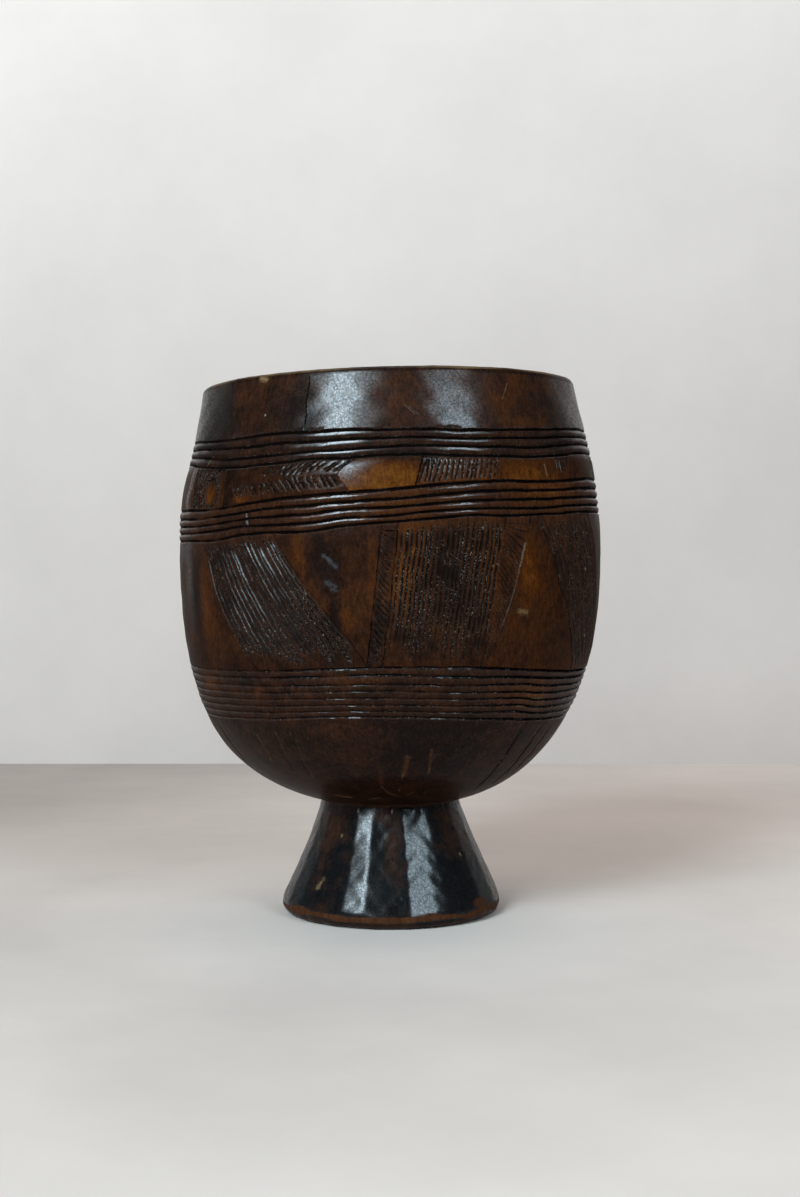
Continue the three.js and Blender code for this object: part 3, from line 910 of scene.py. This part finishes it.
# The lip and the hollow as one closed grid, along a path over the lip and down to the middle of the floor.
# The path is a quarter round, the lip's top, another quarter round, and the two bent lines of the hollow.
def carveHollow(skin, ring, rng):
    rim, radius, columns = bowl["rimHeight"], bowl["lipRound"], bowl["hollowColumns"]
    turns = np.linspace(0, math.pi / 2, 5)
    outer = np.interp(rim - radius, outlineUp, outlineAcross) - radius
    inner = bowl["mouthRadius"] + radius
    across = [*(outer + radius * np.cos(turns)), outer * 0.6 + inner * 0.4, *(inner - radius * np.sin(turns))]
    up = [*(rim - radius + radius * np.sin(turns)), rim + bowl["lipCrown"],
          *(rim - radius + radius * np.cos(turns))]
    for line, steps in (("hollowShoulder", 14), ("hollowUnder", 19)):
        lineAcross, lineUp = bent(bowl[line], steps)
        across = np.append(across, lineAcross[::-1][1:])
        up = np.append(up, lineUp[::-1][1:])
    across, up = across[:, None], up[:, None]
    angle = (np.arange(columns) * 360 / columns - 180)[None, :]
    rows = np.arange(len(up))[:, None]
    # adze marks: shallow hollows in slanting rows
    below = smooth((158 - up) / 6) * smooth(across / 12)
    marks = np.cos(np.radians(angle * 26 + 70 * np.sin(up / 7))) * np.cos(up * 0.55 + np.radians(angle * 3))
    rough = below * (0.35 * broad.at(angle * -1, up * 0.8) + bowl["adze"] * marks)
    onLip = 1 - smooth((rows - 9) / 3)
    dents = onLip * 0.05 * (waver(angle, rng, 5, 20, 10) + 0.5 * waver(angle, rng, 30, 80, 8))
    edge = rim - radius + 0 * up
    swell = bowl["swell"] * broad.at(angle, edge) + bowl["whittle"] * small.at(angle, edge)
    swell = swell * np.clip(1 - rows / 6, 0, 1)
    points = turned(angle, up + dents * (rows > 1) * (rows < 10), across + swell - rough)
    onEdge = np.exp(-((rows - 2.7) / 1.7)**2) + 0.6 * np.exp(-((rows - 8) / 1.4)**2)
    worn = np.clip(onLip * onEdge * (0.75 + 0.25 * waver(angle, rng, 3, 20, 8)), 0, 1)
    bare = np.where(below > 0.05, 0.55, 0.2) + 0 * angle
    index = skin.grid(points, 0.0, bare, worn, 0.08 + 0.5 * onLip, closed=True)
    skin.stitchRound(ring, (index[0], angle[0]))
    middle, floor = bowl["hollowUnder"][0]
    skin.fan(index[-1], (middle, 0.0, floor), "up")


# The chewed edge above the neck: a few rings from the flat bottom out to the underside
def carveNeck(skin, rng):
    columns = bowl["neckColumns"]
    angle = np.arange(columns) * 360 / columns - 180
    chewed = 0.30 * waver(angle, rng, 6, 24, 8) + 0.20 * waver(angle, rng, 30, 80, 8)
    across, up, ragged, worn = (np.array(values)[:, None] for values in zip(*bowl["neck"]))
    points = turned(angle, up + 0 * angle, across + chewed * ragged)
    index = skin.grid(points, 0.0, 0.35, worn, closed=True)
    skin.fan(index[0], (0.25, 0.0, bowl["neck"][0][1]), "down")
    return {"highest": (index[-1], angle)}


def makeBowl(finish):
    rng = np.random.default_rng(bowl["seed"] + 1)
    skin = Skin()
    lower, middle, upper = (carveBand(skin, band, rng) for band in (lowerBand, middleBand, upperBand))

    print("bowl: underside")
    lowest, highest = bowl["underside"]
    lengths = np.interp([lowest, highest], outlineUp, outlineLength)
    heights = np.interp(np.linspace(*lengths, bowl["undersideRows"]), outlineLength, outlineUp)
    shares = (heights - lowest) / (heights[-1] - lowest)
    underside = Stretch(level(lowest), course(lower["below"], -0.35), shares, rng)
    underside = underside.carve(skin, undersideParts())

    print("bowl: belly")
    shares = np.concatenate([[0], np.linspace(0.012, 0.988, 25), [1]])
    belly = Stretch(course(lower["above"], 0.25), course(middle["below"], -0.2), shares, rng, (0.0, 0.16))
    belly = belly.carve(skin, bellyParts())

    print("bowl: frieze")
    shares = np.concatenate([[0], np.linspace(0.03, 0.97, 21), [1]])
    frieze = Stretch(course(middle["above"], 0.2), course(upper["below"], -0.2), shares, rng, (0.08, 0.26))
    frieze = frieze.carve(skin, friezeParts())

    print("bowl: collar, lip and hollow")
    crack = part(bowl["crack"], 0.50, 0.45, "plain", 252, (0.24, 0.30), shine=1.0, along=(142.0, 158.2),
                 wobble=0.10)
    collar = Stretch(course(upper["above"], 0.25), level(157.75), np.linspace(0, 1, 15), rng, (0.10, 0.0))
    collar = collar.carve(skin, [crack])
    neck = carveNeck(skin, rng)
    rings = neck, underside, lower, belly, middle, frieze, upper, collar
    for below, above in zip(rings, rings[1:]):
        skin.stitchRound(below["highest"], above["lowest"])
    carveHollow(skin, collar["highest"], rng)
    piece = skin.build("carved_bowl", finish, 34)
    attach(piece, "root")
    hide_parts("bowl")


# Foot

foot = {
    "seed": 5,
    "height": 34.4,
    # heights and radii up the outside, from the resting face to the neck
    "outline": ((0.0, 0.12, 0.6, 1.4, 2.4, 4.0, 7.0, 10.0, 16.0, 22.0, 28.0, 31.5, 34.4),
                (29.6, 30.7, 31.9, 32.75, 33.1, 32.95, 31.85, 30.45, 27.7, 25.05, 22.75, 21.6, 20.87)),
    # knife facets: angle of each ridge between them, and how far it stands out
    "ridges": ((-170, -152, -137, -120, -104, -86, -69, -55, -42, -26.5, -14.5, -8.5, 9.5, 24, 31, 42, 55, 71,
                88, 103, 121, 138, 155, 172),
               (0.1, 0.2, 0.0, 0.25, 0.1, 0.2, 0.05, 0.15, 0.25, 0.40, 0.24, -0.48, -0.42, -0.52, -0.28, 0.05,
                0.18, 0.0, 0.2, 0.1, 0.22, 0.0, 0.2, 0.05)),
    # how much more a ridge stands out at the top and bottom of the foot
    "atEnds": {-26.5: 0.30},
    # and at the top alone
    "atTop": {9.5: 0.40, 24: -0.30},
    "flat": 0.8,  # how flat the facets are, 1 being quite flat
    # Places are given as angle, height, half width in degrees, half height, and amount.
    # where the wood shows brown through the polish, which comes again at these turns
    "brown": ((-50, 24, 10, 6, 1), (0, 21, 7, 7, 1), (45, 23, 10, 4, 1), (-66, 31, 14, 4, 1),
              (-5, 32, 14, 3, 1)),
    "turns": (0, 118, 236),
    # where it is duller
    "dull": ((-20, 19, 8, 5, 0.5), (-20, 34, 9, 2.6, 0.45), (14, 32, 5, 5.5, 0.75), (-4, 16, 8, 10, 0.60),
             (-9, 30, 6, 3, 0.4), (42, 17, 11, 16, 0.35), (78, 15, 22, 20, 0.36), (-66, 15, 22, 20, 0.36)),
    # where the lower edge is rubbed further up
    "rubbed": ((57, 5.2, 6.5, 1.8, 1.0), (51, 6.0, 3, 1.0, 0.6)),
    "columns": 360,
    "edgeRows": (0.0, 0.12, 0.35, 0.7, 1.1, 1.6, 2.2, 2.9, 3.6),
    "sideRows": 40,
}


# Radius of the faceted side: between two ridges the side is flat, so in a level cut it is the straight line
# between them, whose radius is p q sin(b - a) / (p sin(x - a) + q sin(b - x)) at angle x for ridges at angles
# a and b with radii p and q. It is averaged over three degrees to soften the ridges.
def facets(angle, radius, up):
    at, out = (np.array(part, float) for part in foot["ridges"])
    at = np.concatenate([[at[-1] - 360], at, [at[0] + 360]])
    out = np.concatenate([[out[-1]], out, [out[0]]])
    atEnds, atTop = (np.array([foot[way].get(ridge, 0.0) for ridge in at]) for way in ("atEnds", "atTop"))
    ends, top = ((up - 17) / 15)**2, smooth((up - 22) / 7)
    total = 0
    shifts = (-1.4, -0.7, 0.0, 0.7, 1.4)
    for shift in shifts:
        turn = (angle + shift + 180) % 360 - 180
        side = np.clip(np.searchsorted(at, turn, side="right") - 1, 0, len(at) - 2)
        a, b = np.radians(at[side]), np.radians(at[side + 1])
        p, q = (radius + out[edge] + ends * atEnds[edge] + top * atTop[edge] for edge in (side, side + 1))
        x = np.radians(turn)
        total = total + p * q * np.sin(b - a) / (p * np.sin(x - a) + q * np.sin(b - x)) / len(shifts)
    return total


def makeFoot(finish):
    rng = np.random.default_rng(foot["seed"])
    skin = Skin()
    columns, height = foot["columns"], foot["height"]
    angle = (np.arange(columns) * 360 / columns - 180)[None, :]
    up = np.concatenate([foot["edgeRows"], np.linspace(4.4, 34.1, foot["sideRows"]), [height]])[:, None]
    radius = softLine(up, *foot["outline"], 0.25, None)
    amount = smooth((up - 1.0) / 5.0) * (0.35 + 0.65 * smooth((height - up) / 9.0))
    side = radius + amount * (foot["flat"] * (facets(angle, radius, up) - radius) + 0.12)
    wear = waver(angle, rng, 5, 40, 12)
    nicks = 0.12 * wear * smooth((5 - up) / 4) + 0.03 * small.at(angle, up * 1.5) * smooth(up / 4)
    bite = -0.22 * np.clip(waver(angle, rng, 10, 60, 10) - 0.6, 0, 1) * smooth((up - 32.0) / 1.5)
    points = turned(angle, up, side + nicks + bite)
    # the rubbed band along the lower edge, a rubbed patch to the right, and the raw wood at the neck
    edge = 4.3 + 0.40 * waver(angle, rng, 3, 14, 6) + 0.08 * waver(angle, rng, 20, 60, 8)
    rubbed = smooth((edge - up) / 0.7)
    rubbed = rubbed * smooth((up - 1.7 - 0.3 * waver(angle, rng, 3, 14, 6)) / 1.0)
    neck = smooth((up - 33.3) / 1.0) * 0.55
    worn = np.clip(rubbed + 1.1 * placesAt(foot["rubbed"], angle, up) + neck, 0, 1)
    dull = placesAt(foot["dull"], angle, up)
    shine = (0.15 + 0.85 * smooth((up - 1.6) / 1.2)) * (1 - np.clip(dull, 0, 0.8))
    brown = 0.1 + 0.62 * placesAt(foot["brown"], angle, up, foot["turns"]) + 0.12 * waver(angle, rng, 2, 9, 6)
    brown = np.clip(brown, 0, 1) * smooth((up - 2) / 2)
    index = skin.grid(points, 0.0, np.maximum(brown, 0.55 * (up < 2.0)), worn, shine, closed=True)
    skin.fan(index[0], (0.4, 0.0, 0.0), "down", 0.5)
    skin.fan(index[-1], (0.25, 0.0, height), "up", 0.8)
    piece = skin.build("carved_foot", finish, 40)
    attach(piece, "root")
    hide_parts("foot")


# Finishes. Colours are plain red, green and blue parts, 1 being full.

bowlLook = {
    # the wood from the thickest polish to bare, by how far the polish is gone
    "patina": (0.0082, 0.0040, 0.0028),
    "brown": (0.030, 0.0108, 0.0048),
    "orange": (0.063, 0.0184, 0.0034),
    "amber": (0.140, 0.050, 0.0090),
    # painted shade: the near black that the bottoms of the cuts are painted
    "cutShade": (0.0040, 0.0024, 0.0018),
    # pale grey of the painted glints in the cuts and of some marks
    "paleGrey": (0.30, 0.28, 0.25),
    "wornEdge": (0.13, 0.080, 0.040),
    "tan": (0.30, 0.20, 0.10),
    "scuff": (0.052, 0.050, 0.052),
    "rust": (0.12, 0.040, 0.012),
    # noises for blotches, patches, grain, peel and grit: size in millimetres, detail, roughness, and stretch
    "noises": ((15, 4.0, 0.6), (4.2, 6.0, 0.68), (0.9, 4.0, 0.65, (1.0, 1.0, 0.36)), (0.60, 3.0, 0.55),
               (0.32, 2.0, 0.5)),
    "flecks": (0.5, (0.56, 0.50, 0.48), (1.42, 1.42, 1.38)),  # share of grain, and darkest and palest tint
    "roughness": (0.32, 0.55),
    "specular": 0.006,
    "coat": 0.95,  # where it shines fully
    "coatRoughness": 0.22,
    "dullest": 0.30,  # how much of the gloss is left in the dull specks
    "relief": (0.30, 1.0, 0.5, 0.8),  # of grain, peel, grit and patches
    "bump": 0.00011,
    # dents, chips, scratches and a few painted highlights: angle and height of both ends, half width, colour,
    # strength
    "marks": (
        (-38.8, 158.2, -37, 157.8, 0.9, "tan", 0.6), (34.4, 92.6, 36.6, 92.2, 0.9, "tan", 0.35),
        (-58.2, 134.2, -55.6, 137, 0.22, "tan", 0.5), (67, 84.9, 67.3, 84.6, 0.5, "tan", 0.9),
        (62.3, 104.3, 62.4, 104, 0.4, "tan", 0.7), (-35.6, 147.6, -35.6, 147.3, 0.3, "paleGrey", 0.8),
        (33.2, 150.5, 35.8, 155, 0.16, "tan", 0.3), (-38.2, 119.6, -38, 118.8, 0.3, "paleGrey", 0.6),
        (-37.8, 117.4, -37.6, 116.8, 0.4, "paleGrey", 0.5), (-16.2, 107.8, -14.4, 106.6, 0.6, "scuff", 0.8),
        (-14.6, 106.4, -13, 104.8, 0.8, "scuff", 0.7), (-15.4, 100.4, -13.4, 99.2, 1, "scuff", 0.6),
        # painted highlights: the four pale grey strokes along the right border of the wedge, from 36 degrees
        # at 110.8 down to 29.4 at 88, and the two tan strokes at 39.5 to 49 degrees, heights 65.3 to 67.8, on
        # the lower band
        (-14.2, 98.4, -12.8, 98.2, 0.5, "scuff", 0.5), (36, 110.8, 34.3, 105, 0.36, "paleGrey", 0.3),
        (34.3, 105, 32.9, 99.7, 0.22, "paleGrey", 0.16), (32.9, 99.7, 30.8, 92.8, 0.2, "paleGrey", 0.2),
        (30.8, 92.8, 29.4, 88, 0.18, "paleGrey", 0.14), (41, 67.8, 49, 67.5, 0.16, "tan", 0.6),
        (39.5, 65.7, 46.5, 65.3, 0.16, "tan", 0.6), (4.4, 148.6, 7.2, 146, 0.1, "paleGrey", 0.25),
        (5.6, 148.2, 8.2, 145.8, 0.1, "paleGrey", 0.2), (44.6, 132.6, 45.2, 129.8, 0.35, "tan", 0.35),
        (49.6, 134.4, 50, 131, 0.12, "paleGrey", 0.6), (51.2, 134.6, 51.6, 131, 0.12, "paleGrey", 0.6),
        (7.2, 52, 6.4, 46, 1, "rust", 0.42), (6.4, 47, 5.2, 41, 0.22, "tan", 0.22),
        (14.6, 54, 15.6, 47, 0.55, "rust", 0.4), (15.4, 48.5, 17.7, 39.5, 0.26, "tan", 0.26),
        (-1.6, 48, -2.2, 43.5, 0.8, "rust", 0.22), (-2.4, 42.8, 0.6, 40.3, 0.2, "tan", 0.22),
        (0.6, 40.3, 4, 39.4, 0.3, "tan", 0.25), (9, 39.6, 12.5, 40.6, 0.22, "tan", 0.2),
        (-44, 57, -44.4, 49, 0.16, "tan", 0.3), (-34.9, 58.6, -36.3, 46, 0.16, "tan", 0.3),
        (-29.5, 58.8, -29.2, 45, 0.16, "tan", 0.3), (-27, 38.9, -19.5, 38.2, 0.4, "tan", 0.5),
        (-10, 37.8, -4, 38.3, 0.3, "tan", 0.45),
    ),
}
footLook = {
    "patina": (0.0048, 0.0052, 0.0062),
    "brown": (0.038, 0.0155, 0.0084),
    "wornEdge": (0.062, 0.024, 0.011),
    "tan": (0.24, 0.17, 0.08),
    "paleGrey": (0.30, 0.28, 0.26),
    "noises": ((9, 5.0, 0.6), (3.0, 5.0, 0.6), (1.1, 4.0, 0.6, (1.0, 1.0, 0.10)), (0.75, 3.0, 0.5),
               (0.36, 2.0, 0.5)),
    "flecks": (0.6, (0.55, 0.50, 0.48), (1.4, 1.4, 1.35)),
    "roughness": (0.20, 0.40),
    "specular": 0.03,
    "coat": 0.90,
    "coatRoughness": 0.18,
    "dullest": 0.42,
    "relief": (0.4, 1.0, 0.4, 0.6),
    "bump": 0.00008,
    "marks": (
        (-45.6, 10.4, -44.2, 11.4, 0.9, "tan", 0.7), (-43.6, 12, -42.6, 13, 0.7, "tan", 0.35),
        (-37.5, 25.6, -37.2, 25.2, 0.45, "tan", 0.7), (51, 19.6, 51.4, 19.2, 0.45, "tan", 0.7),
        (-9.4, 24.8, -3, 18.8, 0.22, "paleGrey", 0.35), (-8.6, 23, -3.4, 17.4, 0.14, "paleGrey", 0.25),
        (-4.4, 17.2, -1.6, 17, 0.3, "paleGrey", 0.3), (3.2, 13.6, 4.2, 11.4, 0.35, "paleGrey", 0.25),
        (0.5, 9, 2.5, 7.5, 0.4, "paleGrey", 0.12), (15.5, 28.6, 24, 21.6, 0.2, "paleGrey", 0.3),
        (18.5, 28, 26, 22, 0.14, "paleGrey", 0.25), (3, 12.6, 6, 8.6, 0.4, "paleGrey", 0.12),
    ),
}


# Soft noise whose patches are about size millimetres across
def cloud(wire, place, size, detail, rough, stretch=None):
    if stretch:
        place = wire.add("ShaderNodeVectorMath", {0: place, 1: stretch}, operation="MULTIPLY")
    return wire.add("ShaderNodeTexNoise", {"Vector": place, "Scale": 1000.0 / size, "Detail": detail,
                                           "Roughness": rough})


# Gloss broken up as on old polish: dull specks, and fine wrinkles between uneven cells a millimetre wide
def leather(wire, place, peel, grit, least):
    sway = wire.add("ShaderNodeTexNoise", {"Vector": place, "Scale": 700.0}, 1)
    swayed = wire.add("ShaderNodeVectorMath", {0: sway, 1: (0.001,) * 3, 2: place}, operation="MULTIPLY_ADD")
    cells = wire.add("ShaderNodeTexVoronoi", {"Vector": swayed, "Scale": 800.0}, feature="DISTANCE_TO_EDGE")
    speckle = least + (1 - least) * (0.5 * peel + 0.5 * grit).between(0.36, 0.56)
    return speckle * (0.55 + 0.45 * cells.between(0.0, 0.16))


# A mark painted on the surface: 1 within the half width of the straight line between two points. The place
# along the line is the dot product with it over its length squared, and the mark fades by the distance.
def stroke(wire, place, start, end, half, ragged):
    def vector(operation, sockets, output=0):
        return wire.add("ShaderNodeVectorMath", sockets, output, operation=operation)

    start, end = np.array(start), np.array(end)
    line = end - start
    away = vector("SUBTRACT", {0: place, 1: tuple(start)})
    share = vector("DOT_PRODUCT", {0: away, 1: tuple(line / max(line @ line, 1e-12))}, 1).between(0.0, 1.0)
    nearest = vector("SCALE", {0: tuple(line), 3: share})
    distance = vector("LENGTH", {0: vector("SUBTRACT", {0: away, 1: nearest})}, 1)
    return 1 - (distance * (0.5 + ragged)).between(0.0003 * half, 0.0012 * half)


def footPoint(angle, height):
    radius = float(np.interp(height, *foot["outline"]))
    return tuple(turned(float(angle), float(height), radius) / 1000)


def bowlPoint(angle, height):
    return tuple(onOutside(float(angle), float(height), 0.0) / 1000)


# The finish of one piece, with what both pieces share
class Wood:
    def __init__(self, name, look):
        self.look = look
        self.finish, self.wire = newFinish(name)
        self.place = self.wire.add("ShaderNodeTexCoord", output="Object")
        self.blotch, self.patches, self.grain, self.peel, self.grit = (
            cloud(self.wire, self.place, *noise) for noise in look["noises"])

    # one of the finish values that the mesh carries
    def value(self, label):
        return self.wire.add("ShaderNodeAttribute", {}, 2, attribute_name=label)

    def flecked(self, shade):
        share, dark, pale = self.look["flecks"]
        flecks = (share * self.grain + (1 - share) * self.grit).between(0.36, 0.64)
        return shade.tinted(flecks.blend(dark, pale))

    # lays the look's marks over a colour, broken up by a noise
    def marked(self, shade, surface):
        ragged, broken = self.peel.between(0.3, 0.7), self.grit.between(0.30, 0.52)
        for angle, height, angleTo, heightTo, half, colour, strength in self.look["marks"]:
            start, end = surface(angle, height), surface(angleTo, heightTo)
            mark = stroke(self.wire, self.place, start, end, half, ragged)
            shade = (mark * broken * strength).blend(shade, self.look[colour])
        return shade

    def roughness(self, share):
        low, high = self.look["roughness"]
        return low + (high - low) * share

    def coat(self, share):
        broken = leather(self.wire, self.place, self.peel, self.grit, self.look["dullest"])
        return share * broken * self.look["coat"]

    def finished(self, shade, rough, coat):
        look = self.look
        grain, peel, grit, patches = look["relief"]
        relief = grain * self.grain + peel * self.peel + grit * self.grit + patches * self.patches
        bump = self.wire.add("ShaderNodeBump", {"Height": relief, "Distance": look["bump"], "Strength": 1.0})
        sockets = {"Base Color": shade, "Roughness": rough, "Coat Weight": coat, "Normal": bump,
                   "Specular IOR Level": look["specular"], "Coat Roughness": look["coatRoughness"],
                   "Coat IOR": 1.5}
        shader = self.wire.add("ShaderNodeBsdfPrincipled", sockets)
        self.wire.add("ShaderNodeOutputMaterial", {"Surface": shader})
        return self.finish


def makeBowlFinish():
    look, wood = bowlLook, Wood("carved_bowl_wood", bowlLook)
    patches, grain, peel, grit = wood.patches, wood.grain, wood.peel, wood.grit
    cut, bare, worn, shine = (wood.value(label) for label in markNames)
    # how far the polish is gone, and the wood's colour for it
    gone = bare + 1.0 * (patches - 0.5) + 0.4 * (wood.blotch - 0.5) + 0.4 * (grain - 0.5) + 0.3 * (peel - 0.5)
    gone = gone - 0.06
    shade = gone.between(-0.02, 0.36).blend(look["patina"], look["brown"])
    shade = gone.between(0.34, 0.80).blend(shade, look["orange"])
    shade = gone.between(0.76, 1.25).blend(shade, look["amber"])
    # painted shade: the cuts are painted near black by how deep in them each point lies
    cutShade = cut.between(0.10, 0.60)
    shade = cutShade.blend(wood.flecked(shade), look["cutShade"])
    # painted highlights: pale grey specks in the cuts, where they have some gloss, stand in for glints
    glintSpecks = cutShade * shine.between(0.02, 0.11) * grit.between(0.59, 0.67) * patches.between(0.42, 0.54)
    shade = (glintSpecks * 0.6).blend(shade, look["paleGrey"])
    rubbed = (worn * (0.3 + 0.9 * patches + 0.5 * grit)).between(0.38, 0.85)
    shade = wood.marked(rubbed.blend(shade, look["wornEdge"]), bowlPoint)
    rough = wood.roughness((patches * 0.6 + peel * 0.4).between(0.3, 0.7)) + 0.15 * cutShade
    coat = wood.coat((1 - rubbed * 0.8) * shine)
    return wood.finished(shade, rough, coat.math("MINIMUM", coat, 1.0))


def makeFootFinish():
    look, wood = footLook, Wood("carved_foot_wood", footLook)
    patches = wood.patches
    bare, worn, shine = (wood.value(label) for label in markNames[1:])
    tone = (bare + 1.5 * (wood.blotch - 0.5) + 1.0 * (patches - 0.5)).between(0.15, 0.90)
    shade = tone.blend(look["patina"], look["brown"])
    rubbed = (worn * (0.55 + 0.9 * patches)).between(0.3, 0.8)
    shade = wood.flecked(rubbed.blend(shade, look["wornEdge"]))
    rough = wood.roughness(patches.between(0.3, 0.7)) + 0.3 * rubbed
    return wood.finished(wood.marked(shade, footPoint), rough, wood.coat((1 - rubbed) * shine))


makeBowl(makeBowlFinish())
print("foot")
makeFoot(makeFootFinish())
